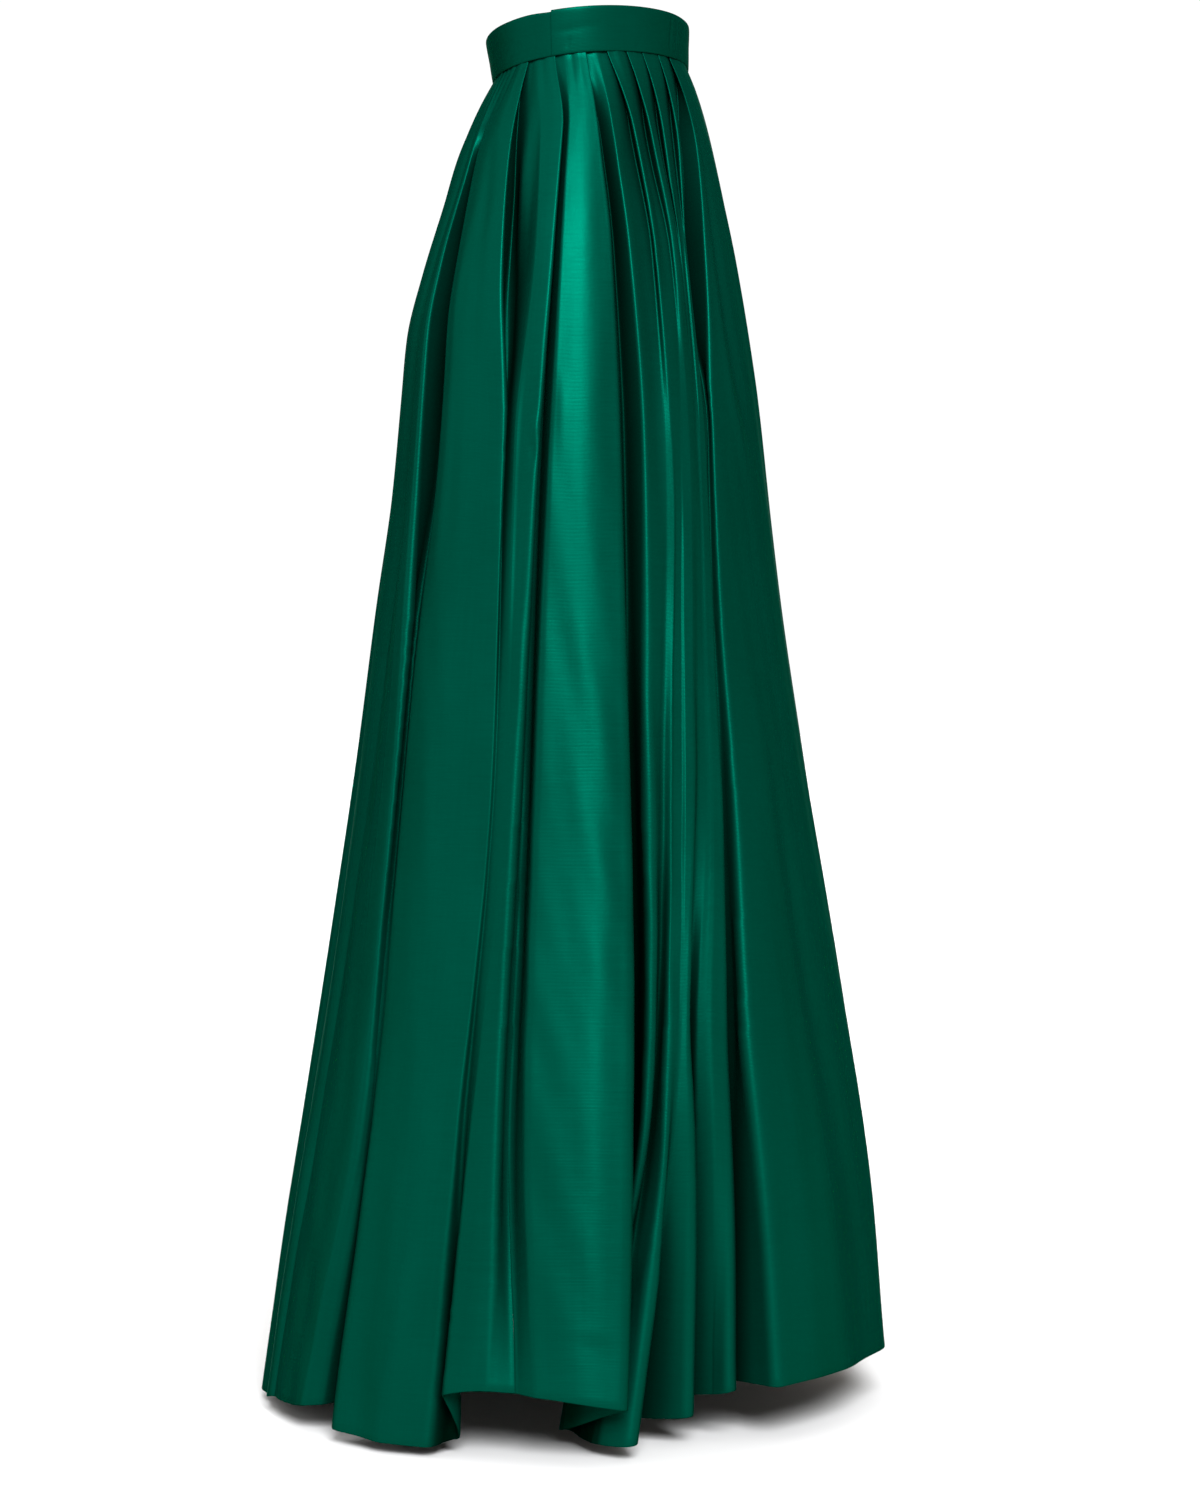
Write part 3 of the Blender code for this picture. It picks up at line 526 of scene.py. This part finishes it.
# panel that starts at this corner; rows of height, share across the panel,
# width and depth in millimetres (+ stands out) the crease has there
CREASES = (
    # open upper fold of the panel beside the side seam
    (("e4", "valley"), ((1.09, 0.14, 6, 0.0), (1.03, 0.18, 8, -4.0), (0.96, 0.22, 9, -6.0),
                        (0.90, 0.24, 9, -3.5), (0.86, 0.20, 8, 0.0))),
    (("e4", "valley"), ((1.135, 0.62, 7, 0.0), (1.10, 0.56, 8, 2.2), (1.06, 0.46, 9, 3.6),
                        (1.02, 0.36, 10, 2.6), (0.97, 0.26, 11, 0.0))),
    (("e4", "valley"), ((1.115, 0.88, 6, 0.0), (1.07, 0.80, 8, -2.4), (1.01, 0.70, 9, -3.4),
                        (0.94, 0.58, 11, -2.0), (0.88, 0.50, 12, 0.0))),
    (("near", "crest"), ((0.92, 0.45, 9, 0.0), (0.84, 0.40, 11, -1.6), (0.70, 0.38, 12, -1.2),
                         (0.52, 0.46, 14, 0.0))),
    # slight crimps by the side seam
    (("near", "crest"), ((0.862, 0.90, 4, 0.0), (0.846, 0.82, 4, 1.6), (0.828, 0.76, 4, 0.0))),
    (("near", "crest"), ((0.848, 0.86, 4, 0.0), (0.832, 0.80, 4, -1.4), (0.812, 0.78, 4, 0.0))),
    (("broad", "crest"), ((0.90, 0.10, 5, 0.0), (0.86, 0.14, 5, 0.8), (0.80, 0.16, 6, 0.0))),
    # broad side panel
    (("broad", "crest"), ((0.80, 0.34, 13, 0.0), (0.62, 0.30, 14, -1.3), (0.40, 0.36, 15, -0.9),
                          (0.22, 0.40, 17, 0.0))),
    (("broad", "crest"), ((0.70, 0.74, 12, 0.0), (0.52, 0.72, 12, 1.2), (0.30, 0.66, 14, 1.6),
                          (0.06, 0.62, 16, 1.0))),
    # panel behind the side seam
    (("e3", "crest"), ((1.12, 0.52, 6, 0.0), (1.06, 0.54, 8, -1.7), (0.96, 0.56, 10, -1.9),
                       (0.84, 0.60, 12, -0.8), (0.70, 0.60, 12, 0.0))),
    (("e3", "crest"), ((1.04, 0.20, 6, 0.0), (0.95, 0.17, 7, 1.3), (0.80, 0.16, 9, 1.3),
                       (0.60, 0.18, 11, 0.0))),
    (("e3", "crest"), ((0.34, 0.74, 8, 0.0), (0.20, 0.68, 8, 1.6), (0.10, 0.62, 9, 2.0),
                       (0.01, 0.56, 10, 1.4))),
    (("e3", "crest"), ((0.44, 0.40, 16, 0.0), (0.26, 0.34, 17, -2.0), (0.10, 0.30, 18, -2.6),
                       (0.01, 0.28, 18, -2.6))),
    # gathers toward the back
    (("b4", "crest"), ((1.15, 0.35, 4, 0.0), (1.10, 0.36, 5, 1.8), (1.02, 0.36, 7, 2.4),
                       (0.92, 0.34, 9, 1.8), (0.80, 0.30, 10, 0.0))),
    (("b4", "crest"), ((1.14, 0.68, 4, 0.0), (1.09, 0.66, 5, -2.0), (1.01, 0.64, 6, -2.6),
                       (0.90, 0.64, 8, -1.2), (0.76, 0.62, 10, 0.0))),
    (("b4", "crest"), ((0.60, 0.45, 14, 0.0), (0.42, 0.50, 16, 2.0), (0.22, 0.52, 18, 3.0),
                       (0.01, 0.50, 20, 3.4))),
    (("b5", "crest"), ((1.14, 0.30, 4, 0.0), (1.08, 0.34, 6, -2.0), (0.98, 0.36, 8, -2.6),
                       (0.84, 0.38, 10, 0.0))),
    (("b5", "crest"), ((0.90, 0.60, 10, 0.0), (0.70, 0.56, 14, 2.4), (0.45, 0.52, 18, 3.0),
                       (0.20, 0.50, 20, 2.4), (0.01, 0.48, 20, 2.0))),
    (("b6", "crest"), ((1.13, 0.62, 5, 0.0), (1.05, 0.58, 7, 2.2), (0.94, 0.54, 9, 2.0),
                       (0.80, 0.50, 12, 0.0))),
    (("b6", "crest"), ((0.75, 0.40, 14, 0.0), (0.50, 0.42, 18, -3.0), (0.25, 0.44, 20, -3.4),
                       (0.01, 0.44, 22, -3.0))),
    # gathers in front of the side seam
    (("strip", "crest"), ((1.12, 0.55, 5, 0.0), (1.06, 0.55, 7, -2.2), (0.98, 0.60, 9, -3.2),
                          (0.88, 0.66, 10, -2.4), (0.74, 0.70, 12, 0.0))),
    (("f2", "crest"), ((1.13, 0.45, 4, 0.0), (1.09, 0.45, 5, -1.2), (1.02, 0.50, 6, -1.6),
                       (0.93, 0.55, 8, 0.0))),
    (("f2", "crest"), ((0.86, 0.62, 10, 0.0), (0.70, 0.66, 11, -1.6), (0.50, 0.70, 13, -1.8),
                       (0.30, 0.72, 14, 0.0))),
    (("f3", "crest"), ((1.12, 0.50, 4, 0.0), (1.07, 0.55, 5, 1.2), (1.00, 0.60, 6, 1.4),
                       (0.92, 0.60, 8, 0.0))),
    (("f4", "crest"), ((1.08, 0.45, 5, 0.0), (1.02, 0.45, 6, -1.4), (0.94, 0.45, 8, -1.6),
                       (0.84, 0.45, 9, 0.0))),
    (("f5", "crest"), ((1.10, 0.42, 4, 0.0), (1.06, 0.36, 5, 2.2), (1.02, 0.30, 5, 1.4),
                       (0.98, 0.30, 6, 0.0))),
    (("f5", "crest"), ((0.91, 0.62, 5, 0.0), (0.86, 0.60, 5, 1.8), (0.80, 0.58, 6, 0.0))),
    # front panel
    (("f6", "crest"), ((1.14, 0.16, 6, 0.0), (1.08, 0.18, 8, -1.8), (0.99, 0.20, 9, -2.6),
                       (0.90, 0.30, 12, -2.6), (0.82, 0.42, 14, 0.0))),
    (("f6", "crest"), ((1.02, 0.08, 7, 0.0), (0.95, 0.12, 8, 1.8), (0.87, 0.22, 10, 2.2),
                       (0.80, 0.32, 12, 0.0))),
    (("f6", "crest"), ((1.12, 0.60, 7, 0.0), (1.04, 0.62, 9, 1.8), (0.92, 0.66, 12, 1.6),
                       (0.78, 0.70, 14, 0.0))),
    (("f6", "crest"), ((0.62, 0.26, 16, 0.0), (0.44, 0.28, 20, -3.0), (0.28, 0.34, 22, -4.0),
                       (0.12, 0.38, 24, -3.0), (0.01, 0.40, 24, -2.6))),
    (("f6", "crest"), ((0.56, 0.62, 18, 0.0), (0.34, 0.60, 20, 3.2), (0.14, 0.58, 24, 4.4),
                       (0.01, 0.58, 24, 4.4))),
    (("f6", "crest"), ((0.36, 0.12, 6, 0.0), (0.33, 0.30, 6, 0.9), (0.305, 0.46, 6, 0.0))),
)

# slow waves: how many run round the skirt, metres from one to the next down it
WAVES = ((19, 0.83, 0.4), (31, 0.57, 2.1), (47, 0.41, 4.4), (67, 0.29, 0.9))
WAVE_DEPTH = (0.00006, 0.00012)       # at the hip, and what it gains toward the hem


def relief(height, places, middle_at, total, corners):
    """How far the softer forms push each place of a section out, metres."""
    at = places - np.floor(places / total) * total
    depth = np.zeros(len(at))
    n = len(corners)
    half = n // 2
    puckered = smooth_step((height - PUCKER_HEIGHT) / PUCKER_FADE)
    for k, c in enumerate(corners):
        j = (k + 1) % n
        start, stop = middle_at[k], middle_at[j] + (total if j == 0 else 0.0)
        width = stop - start
        inside = at + np.where(at < start, total, 0.0) if stop > total else at
        t = (inside - start) / width
        on = (t > 0.0) & (t < 1.0)
        # on the left half the same panel starts at the mirrored corner
        left = k >= half
        key = (corners[j]["name"], corners[j]["part"]) if left else (c["name"], c["part"])
        if width > CROWN_NARROW:
            full = smooth_step((width - CROWN_NARROW) / CROWN_FADE)
            crown = min(CROWNS.get(key, CROWN_ELSE) * width * full, CROWN_MOST)
            depth[on] += crown * np.sin(math.pi * t[on]) ** 2
        if puckered > 0.0 and width > PUCKER_PANEL:
            for i, share in enumerate(PUCKERS):
                tall = PUCKER_DEPTH * math.sin(2.1 * k + 2.6 * i) * puckered
                depth[on] += tall * np.exp(-(((t[on] - share) * width / PUCKER_WIDTH) ** 2))
        for i, (name, rows) in enumerate(CREASES):
            if name != key:
                continue
            hs = [r[0] for r in rows][::-1]
            if not hs[0] < height + (0.0 if hs[0] > 0.02 else 0.001) < hs[-1]:
                continue
            share, wide, tall = (smooth_value(height, hs, [r[c] for r in rows][::-1])
                                 for c in (1, 2, 3))
            if left:
                share = 1.0 - share + 0.05 * math.sin(1.7 * i + 5.0 * height)
                tall *= 0.8 + 0.35 * math.sin(2.9 * i)
            ends = np.clip(6.0 * np.minimum(t[on], 1.0 - t[on]), 0.0, 1.0)
            off = (t[on] - share) * width * 1000.0 / wide
            depth[on] += 0.001 * tall * ends * np.exp(-(off ** 2))
    size = WAVE_DEPTH[0] + WAVE_DEPTH[1] * smooth_step((1.10 - height) / 0.8)
    for count, run, phase in WAVES:
        sway = phase + 1.3 * math.sin(5.1 * height + phase)
        depth += size * np.sin(2.0 * math.pi * (count * at / total + height / run) + sway)
    return depth


def cloth_rows():
    """Nominal height, step inward and step up of every row of the cloth mesh."""
    rows = [(SEAM_HEIGHT, 0.0, SEAM_ALLOWANCE), (SEAM_HEIGHT, 0.0, 0.5 * SEAM_ALLOWANCE)]
    count = int(round((SEAM_HEIGHT - HEM_HEIGHT) / ROW_STEP))
    for i in range(count + 1):
        rows.append((mix(SEAM_HEIGHT, HEM_HEIGHT, i / count), 0.0, 0.0))
    for i in range(1, 5):
        a = math.pi * i / 4.0
        rows.append((HEM_HEIGHT, HEM_FOLD_RADIUS * (1.0 - math.cos(a)),
                     -HEM_FOLD_RADIUS * math.sin(a)))
    for i in range(1, 5):
        rows.append((HEM_HEIGHT + HEM_TURNING * i / 4.0, 2.0 * HEM_FOLD_RADIUS, 0.0))
    return rows


def cloth_grids():
    """Grid of points of the front half and of the back half of the skirt."""
    panel_points = points_across(PANEL_STEP)
    grids = [[], []]
    kept = {}
    for height, inward, up in cloth_rows():
        if height not in kept:
            kept[height] = section(height, FOLD_POINTS, panel_points)
        for half, (point, face, lift) in enumerate(kept[height]):
            flat = point - face * inward
            z = np.array([true_height(height, y, li) for y, li in zip(point[:, 1], lift)])
            grids[half].append(np.stack([flat[:, 0], flat[:, 1], z + up - WAIST_HEIGHT], axis=1))
    return [np.array(g) for g in grids]


SHADE_POINTS = 45             # points looked at on either side of a point
SHADE_REACH = 0.05            # and no farther off than this


def painted_fold_shade(grid):
    """How far the folds beside it close in each point of a sheet, 0 to 1; it darkens the satin's
    base colour as painted shade in the folds.
    """
    plan = grid[:, :, :2]
    out = plan / np.linalg.norm(plan, axis=2)[:, :, None]
    along = np.stack([-out[:, :, 1], out[:, :, 0]], axis=2)
    if ((plan[:, 1:] - plan[:, :-1]) * along[:, 1:]).sum() < 0.0:
        along = -along
    rise_most = np.zeros((2,) + plan.shape[:2])
    last = plan.shape[1] - 1
    for side, sign in enumerate((1, -1)):
        for reach in range(1, SHADE_POINTS + 1):
            other = plan[:, np.clip(np.arange(last + 1) + sign * reach, 0, last)]
            rise = ((other - plan) * out).sum(axis=2)
            run = sign * ((other - plan) * along).sum(axis=2)
            near = np.hypot(rise, run) < SHADE_REACH
            angle = np.where(near, np.arctan2(rise, run), 0.0)
            rise_most[side] = np.maximum(rise_most[side], np.clip(angle, 0.0, 0.5 * math.pi))
    return 0.5 * (np.sin(rise_most[0]) + np.sin(rise_most[1]))


def sheet_object(name, grid, shade=None):
    """A one-layer cloth mesh from a grid of points, with its weave map and its painted fold shade.
    """
    rows, cols = grid.shape[:2]
    faces = []
    for r in range(rows - 1):
        for c in range(cols - 1):
            a = r * cols + c
            faces.append((a, a + cols, a + cols + 1, a + 1))
    mesh = bpy.data.meshes.new(name)
    mesh.from_pydata(grid.reshape(-1, 3).tolist(), [], faces)
    mesh.update()
    across = np.linalg.norm(np.diff(grid, axis=1), axis=2)
    along = np.linalg.norm(np.diff(grid, axis=0), axis=2)
    u = np.concatenate([np.zeros((rows, 1)), np.cumsum(across, axis=1)], axis=1)
    u = np.broadcast_to(u[rows - 1] * 0.5 + u[rows // 2] * 0.5, u.shape)
    v = np.concatenate([np.zeros((1, cols)), -np.cumsum(along, axis=0)], axis=0)
    uv = np.stack([u, v], axis=2).reshape(-1, 2)
    layer = mesh.uv_layers.new(name="weave")
    index = np.zeros(len(mesh.loops), dtype=np.int32)
    mesh.loops.foreach_get("vertex_index", index)
    layer.data.foreach_set("uv", uv[index].astype(np.float32).ravel())
    if shade is None:
        shade = np.zeros(grid.shape[:2])
    # amount of painted shade: how far the satin's base colour is darkened in the folds at each
    # point
    fold = mesh.attributes.new("fold", "FLOAT", "POINT")
    fold.data.foreach_set("value", shade.astype(np.float32).ravel())
    mesh.shade_smooth()
    made = bpy.data.objects.new(name, mesh)
    bpy.context.scene.collection.objects.link(made)
    return made


# ---- waistband -------------------------------------------------------------
BAND_PROFILE = (
    # height share, millimetres out from the ring
    (0.10, -0.4), (0.02, -0.2), (-0.022, 0.3), (-0.03, 0.9), (-0.018, 1.35), (0.02, 1.45),
    (0.06, 1.45), (0.12, 1.45), (0.20, 1.42), (0.28, 1.38), (0.36, 1.3), (0.43, 1.25),
    (0.50, 1.2), (0.57, 1.25), (0.64, 1.3), (0.72, 1.38), (0.80, 1.4), (0.88, 1.4),
    (0.94, 1.32), (0.975, 1.1), (0.995, 0.7), (1.0, 0.2), (0.995, -0.5), (0.97, -1.0),
    (0.90, -1.3), (0.60, -2.2), (0.30, -3.4), (0.06, -4.6), (-0.03, -4.8), (-0.045, -4.4),
    (-0.04, -4.0), (0.0, -3.9),
)

# creases pressed into the band: bearing and height share at one end, then at
# the other, width across and depth in millimetres
BAND_CREASES = (
    (-1.0, 0.50, 30.0, 0.56, 1.2, -0.55), (36.0, 0.46, 66.0, 0.52, 1.4, -0.35),
    (75.0, 0.98, 73.0, 0.04, 1.5, -0.75), (82.0, 0.95, 81.0, 0.10, 2.2, 0.45),
    (-34.0, 0.10, -20.0, 0.46, 1.8, -0.45), (-62.0, 0.55, -30.0, 0.50, 1.6, -0.35),
    (8.0, 0.06, 11.0, 0.34, 1.6, -0.4), (48.0, 0.04, 52.0, 0.40, 1.8, -0.4),
    (110.0, 0.50, 150.0, 0.55, 1.4, -0.5), (104.0, 0.95, 106.0, 0.06, 1.6, -0.6),
    (165.0, 0.52, 196.0, 0.48, 1.3, -0.5), (208.0, 0.08, 214.0, 0.5, 1.8, -0.45),
    (228.0, 0.50, 262.0, 0.54, 1.5, -0.4), (250.0, 0.1, 246.0, 0.5, 1.8, -0.4),
)


BAND_STEPS = 200              # along each half of the band
BAND_MM_A_DEGREE = 1.75
BAND_FACE_OUT = 0.6           # profile points past this are on the outer face, mm
BAND_END_GAP = 0.00015
# the back end of the band sits slightly lower where the two ends meet
CLOSURE_SAG = 0.0014
CLOSURE_SAG_DEGREES = 9.0


def band_relief(bearing, share):
    """How far creases and ease push the band's outer face out, millimetres."""
    deep = 0.12 * np.sin(np.radians(bearing * 7.0) + 1.1 * math.sin(3.0 * share))
    deep += 0.10 * np.sin(np.radians(bearing * 13.0) + 2.0 + 1.6 * share)
    for a0, s0, a1, s1, wide, tall in BAND_CREASES:
        for turn in (-360.0, 0.0, 360.0):
            along = np.array([(a1 - a0) * BAND_MM_A_DEGREE, (s1 - s0) * BAND_HEIGHT * 1000.0])
            size = np.linalg.norm(along)
            x = (bearing + turn - a0) * BAND_MM_A_DEGREE
            y = (share - s0) * BAND_HEIGHT * 1000.0
            t = (x * along[0] + y * along[1]) / size ** 2
            off = (x * along[1] - y * along[0]) / size
            ends = np.clip(4.0 * np.minimum(t, 1.0 - t), 0.0, 1.0)
            deep = deep + tall * ends * np.exp(-((off / wide) ** 2))
    return deep


def band_grid(front):
    """Grid of points of one half of the waistband, round its profile and along it."""
    start, stop = (0.0, 180.0) if front else (180.0, 360.0)
    degrees = np.linspace(start, stop, BAND_STEPS + 1)
    bearing = np.radians(degrees)
    rows = []
    for share, out in BAND_PROFILE:
        f, b, w = (mix(low, high, share) for low, high in zip(BAND_LOW_RING, BAND_TOP_RING))
        deep = f if front else b
        x = -w * np.cos(bearing)
        y = -deep * np.sin(bearing)
        nx, ny = -np.cos(bearing) / w, -np.sin(bearing) / deep
        size = np.hypot(nx, ny)
        push = out
        if out > BAND_FACE_OUT:
            turned = np.where(degrees > 270.0, degrees - 360.0, degrees)
            push = out + band_relief(turned, min(max(share, 0.0), 1.0))
        x = x + 0.001 * push * nx / size
        y = y + 0.001 * push * ny / size
        y[0] = y[-1] = -BAND_END_GAP if front else BAND_END_GAP
        sag = 0.0
        if not front:
            sag = CLOSURE_SAG * np.exp(-((360.0 - degrees) / CLOSURE_SAG_DEGREES) ** 2)
        z = SEAM_HEIGHT + share * BAND_HEIGHT + WAIST_TILT * -y - WAIST_HEIGHT - sag * share
        rows.append(np.stack([x, y, z], axis=1))
    return np.array(rows)


# ---- materials -------------------------------------------------------------
class Sock:
    """A shader value that can be used in plain sums."""

    def __init__(self, tree, socket):
        self.tree, self.socket = tree, socket

    def put(self, kind, *inputs, mode=None, out=0, **settings):
        """Any other node: inputs by position or, as pairs, by name."""
        node = self.tree.nodes.new(kind)
        for name, value in settings.items():
            setattr(node, name, value)
        if mode:
            node.operation = mode
        for place, value in enumerate(inputs):
            if isinstance(value, tuple) and isinstance(value[0], str):
                place, value = value
            if value is None:
                continue
            if isinstance(value, Sock):
                self.tree.links.new(value.socket, node.inputs[place])
            else:
                node.inputs[place].default_value = value
        return Sock(self.tree, node.outputs[out])

    def maths(self, mode, *inputs):
        return self.put("ShaderNodeMath", *inputs, mode=mode)

    def __add__(self, other):
        return self.maths("ADD", self, other)

    def __radd__(self, other):
        return self.maths("ADD", other, self)

    def __sub__(self, other):
        return self.maths("SUBTRACT", self, other)

    def __rsub__(self, other):
        return self.maths("SUBTRACT", other, self)

    def __mul__(self, other):
        return self.maths("MULTIPLY", self, other)

    def __rmul__(self, other):
        return self.maths("MULTIPLY", other, self)

    def sine(self):
        return self.maths("SINE", self)

    def clamp(self):
        return self.put("ShaderNodeClamp", self)


RIB_PITCH = 0.00115           # one weft rib to the next, metres
PAINTED_SHADE_COLOR = (0.0, 0.004, 0.002)       # painted shade: the colour the satin's base colour is darkened to deep in a fold


def satin(name, base, shade):
    """Satin with fine weft ribs and painted shade in the folds; works in the weave map, which is
    in metres.
    """
    made = bpy.data.materials.new(name)
    made.use_nodes = True
    made.diffuse_color = (*base, 1.0)
    tree = made.node_tree
    shader = tree.nodes["Principled BSDF"]
    shader.inputs["Metallic"].default_value = 0.55
    shader.inputs["Specular IOR Level"].default_value = 0.0
    shader.inputs["Specular Tint"].default_value = (0.0, 0.30, 0.20, 1.0)

    weave = tree.nodes.new("ShaderNodeUVMap")
    weave.uv_map = "weave"
    start = Sock(tree, weave.outputs[0])
    parts = start.put("ShaderNodeSeparateXYZ", start)
    u = Sock(tree, parts.socket.node.outputs[0])
    v = Sock(tree, parts.socket.node.outputs[1])

    def spread(across, along, scale, detail=2.0):
        place = start.put("ShaderNodeCombineXYZ", u * across, v * along, 0.0)
        return start.put("ShaderNodeTexNoise", ("Vector", place), ("Scale", scale),
                         ("Detail", detail))

    slubs = spread(26.0, 900.0, 1.0, 3.0)        # thick and thin weft threads
    fine = spread(420.0, 2400.0, 1.0, 1.0)       # single threads
    warp = spread(300.0, 7.0, 1.0, 2.0)          # faint streaks down the cloth
    cloud = spread(9.0, 5.0, 1.0, 3.0)           # slow change over the panels
    press = spread(34.0, 16.0, 1.0, 4.0)         # handling and pressing
    ribs = (v * (2.0 * math.pi / RIB_PITCH)).sine() * 0.5 + 0.5

    tone = (0.42 * cloud + 0.30 * slubs + 0.18 * warp + 0.10 * fine - 0.16) * 1.45
    color = start.put("ShaderNodeMix", ("Factor", tone.clamp()), ("A", (*shade, 1.0)),
                      ("B", (*base, 1.0)), out=2, data_type="RGBA")
    # painted shade: the base colour is darkened toward near-black green where the folds beside a
    # point close it in
    fold = start.put("ShaderNodeAttribute", out=2, attribute_name="fold")
    deep = start.put("ShaderNodeMix", ("Factor", (fold * fold * 1.1).clamp()), ("A", color),
                     ("B", (*PAINTED_SHADE_COLOR, 1.0)), out=2, data_type="RGBA")
    tree.links.new(deep.socket, shader.inputs["Base Color"])
    rough = 0.38 + 0.16 * (cloud - 0.5) + 0.14 * (slubs - 0.5) + 0.06 * ribs
    tree.links.new(rough.clamp().socket, shader.inputs["Roughness"])

    tall = 0.45 * ribs + 0.9 * slubs + 0.25 * fine + 4.0 * press
    bump = tree.nodes.new("ShaderNodeBump")
    bump.inputs["Strength"].default_value = 0.55
    bump.inputs["Distance"].default_value = 0.00012
    tree.links.new(tall.socket, bump.inputs["Height"])
    tree.links.new(bump.outputs[0], shader.inputs["Normal"])
    return made


# ---- the pieces ------------------------------------------------------------
front_grid, back_grid = cloth_grids()
skirt_front = sheet_object("skirt_front_cloth", front_grid, painted_fold_shade(front_grid))
skirt_back = sheet_object("skirt_back_cloth", back_grid, painted_fold_shade(back_grid))
band_front = sheet_object("waistband_front_cloth", band_grid(True))
band_back = sheet_object("waistband_back_cloth", band_grid(False))

skirt_satin = satin("green satin", (0.0, 0.046, 0.0275), (0.0, 0.032, 0.018))
band_satin = satin("green satin band", (0.0, 0.044, 0.026), (0.0, 0.031, 0.017))
for piece, node, slot, stuff in (
        (skirt_front, "skirt_front", "skirt_satin", skirt_satin),
        (skirt_back, "skirt_back", "skirt_satin", skirt_satin),
        (band_front, "waistband_front", "band_satin", band_satin),
        (band_back, "waistband_back", "band_satin", band_satin)):
    piece.data.materials.append(stuff)
    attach(piece, "root")
    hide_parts(node)

# ---- studio ----------------------------------------------------------------
def plain(name, **values):
    """A dull material with nothing on it; values by input name, _ for a space."""
    made = bpy.data.materials.new(name)
    made.use_nodes = True
    inputs = made.node_tree.nodes["Principled BSDF"].inputs
    inputs["Specular IOR Level"].default_value = 0.0
    for key, value in values.items():
        inputs[key.replace("_", " ")].default_value = value
    return made


bpy.ops.mesh.primitive_plane_add(size=120.0, location=(0.0, 0.0, -WAIST_HEIGHT))
floor = bpy.context.object
floor.name = "studio_floor"
floor.data.materials.append(plain("pale floor", Base_Color=(0.56, 0.52, 0.48, 1.0), Roughness=1.0))

world = bpy.data.worlds.new("studio")
bpy.context.scene.world = world
world.use_nodes = True
world.node_tree.nodes["Background"].inputs["Color"].default_value = (1.0, 1.0, 1.0, 1.0)
world.node_tree.nodes["Background"].inputs["Strength"].default_value = 0.35

VIEW = math.radians(-75.0)
TO_CAMERA = np.array((math.sin(VIEW), -math.cos(VIEW), 0.0))
RIGHT = np.array((math.cos(VIEW), math.sin(VIEW), 0.0))
UP = np.array((0.0, 0.0, 1.0))


def studio_place(right, toward, height):
    return tuple(RIGHT * right + TO_CAMERA * toward + UP * (height - WAIST_HEIGHT))


def wide_light(name, side, rise, power, spread):
    """Light from far away: degrees to the camera's right, degrees up, its width in degrees."""
    light = bpy.data.lights.new(name, "SUN")
    light.energy = power
    light.angle = math.radians(spread)
    light.color = (0.92, 1.0, 1.10)
    made = bpy.data.objects.new(name, light)
    bpy.context.scene.collection.objects.link(made)
    # a light shines down its own -Z; it is turned to come from that side
    made.rotation_euler = (math.radians(90.0 - rise), 0.0, VIEW + math.radians(side))


# white screen behind the skirt; the rest of the room is dimmer
bpy.ops.mesh.primitive_plane_add(size=1.0, location=studio_place(0.0, -26.0, 10.0),
                                 rotation=(math.radians(90.0), 0.0, VIEW))
screen = bpy.context.object
screen.name = "studio_screen"
screen.scale = (70.0, 40.0, 1.0)
screen.data.materials.append(plain("white screen", Base_Color=(0.0, 0.0, 0.0, 1.0),
                                   Emission_Color=(1.0, 1.0, 1.0, 1.0), Emission_Strength=1.05))

wide_light("key", 8.0, 34.0, 7.5, 24.0)
wide_light("fill", -80.0, 30.0, 1.0, 50.0)
wide_light("top", 0.0, 82.0, 2.0, 80.0)

# ---- camera ----------------------------------------------------------------
CAMERA_DISTANCE = 3.0
CAMERA_HEIGHT = 0.654
FILM_HEIGHT = 36.0            # millimetres
PICTURE_HEIGHT = 1500.0       # picture points
POINTS_A_METRE = 1119.0       # at the middle of the skirt
PICTURE_SHIFT = (12.0, -91.0)         # picture points
eye = bpy.data.cameras.new("camera")
eye.sensor_fit = "VERTICAL"
eye.sensor_height = FILM_HEIGHT
eye.lens = POINTS_A_METRE * CAMERA_DISTANCE / PICTURE_HEIGHT * FILM_HEIGHT
eye.shift_x = PICTURE_SHIFT[0] / PICTURE_HEIGHT
eye.shift_y = PICTURE_SHIFT[1] / PICTURE_HEIGHT
camera = bpy.data.objects.new("camera", eye)
bpy.context.scene.collection.objects.link(camera)
camera.location = studio_place(0.0, CAMERA_DISTANCE, CAMERA_HEIGHT)
camera.rotation_euler = (math.radians(90.0), 0.0, VIEW)
bpy.context.scene.camera = camera
bpy.context.scene.view_settings.view_transform = "Standard"
